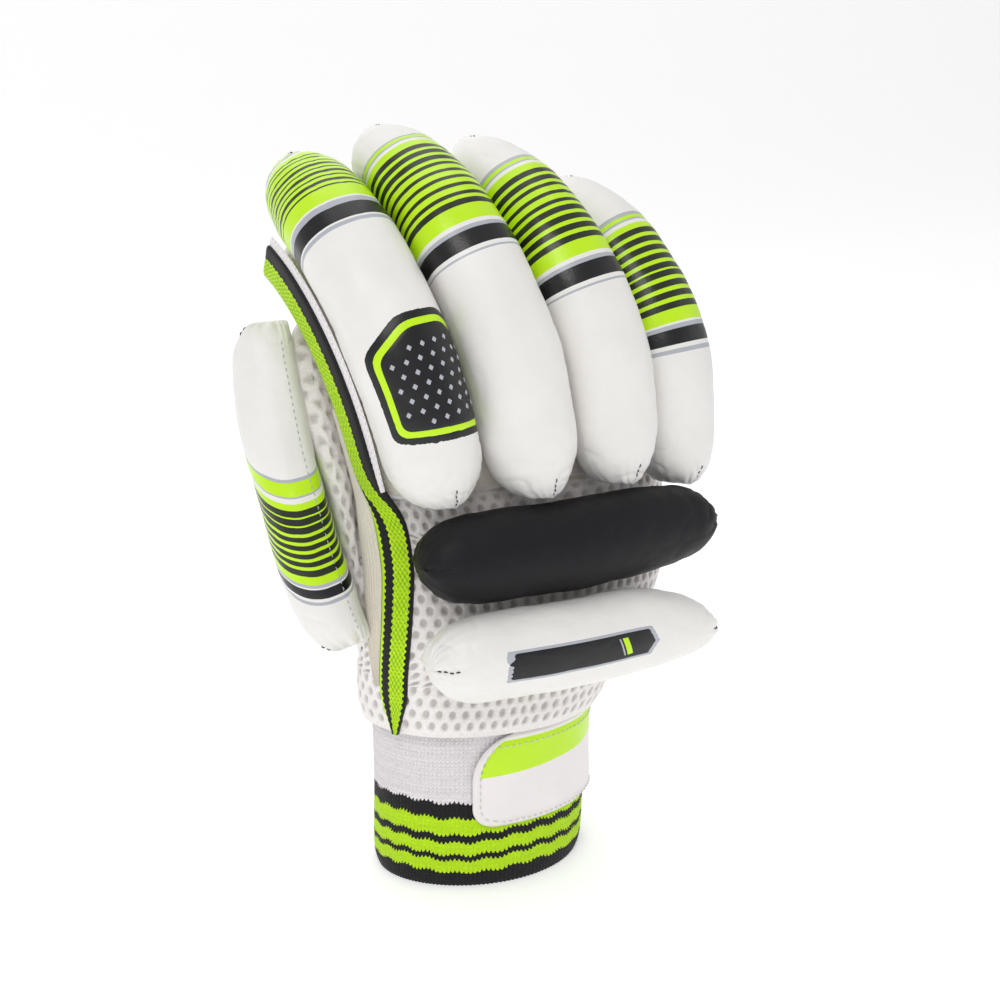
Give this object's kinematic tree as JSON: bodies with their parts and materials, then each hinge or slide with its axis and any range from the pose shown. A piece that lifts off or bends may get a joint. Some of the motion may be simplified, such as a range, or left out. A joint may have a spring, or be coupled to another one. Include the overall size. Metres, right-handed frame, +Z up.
{
  "type": "cricket batting glove",
  "caption": "Right-hand batting glove with padded rolls over the fingers, mesh back, knitted cuff and wrist strap, standing on its cuff with curled fingers.",
  "frame": {"origin": "on the surface that the cuff's rim stands on, under the middle of the glove's bounding box", "axes": "+Z up from the cuff to the fingers, +Y from the back of the hand to the palm, +X from the thumb's side to the little finger's side"},
  "size_m": [0.1608, 0.1104, 0.2545],
  "materials": {
    "white_leather": "white pressed leather with a fine grain and printed neon and black bands",
    "black_leather": "black leather with a soft sheen",
    "air_mesh": "white knitted spacer mesh with rows of oval holes",
    "palm_leather": "soft white leather, matt",
    "finger_cloth": "white woven cloth",
    "cuff_knit": "brushed white knit with neon and black courses",
    "strap_leather": "coated white leather with a stitched edge",
    "neon_ribbon": "neon elastic ribbon with dark bands",
    "ribbed_knit": "cream fine rib knit"
  },
  "bodies": {
    "root": {"cuff": "cuff_knit", "wrist_strap": "strap_leather", "back_panel": "air_mesh", "palm": "palm_leather", "index_stall": "finger_cloth", "middle_stall": "finger_cloth", "ring_stall": "finger_cloth", "little_stall": "finger_cloth", "index_roll": "white_leather", "middle_roll": "white_leather", "ring_roll": "white_leather", "little_roll": "white_leather", "knuckle_bolster": "black_leather", "hand_bolster": "white_leather", "thumb_roll": "white_leather", "thumb_stall": "air_mesh", "side_ribbon": "neon_ribbon", "web_fold": "ribbed_knit"}
  },
  "joints": []
}
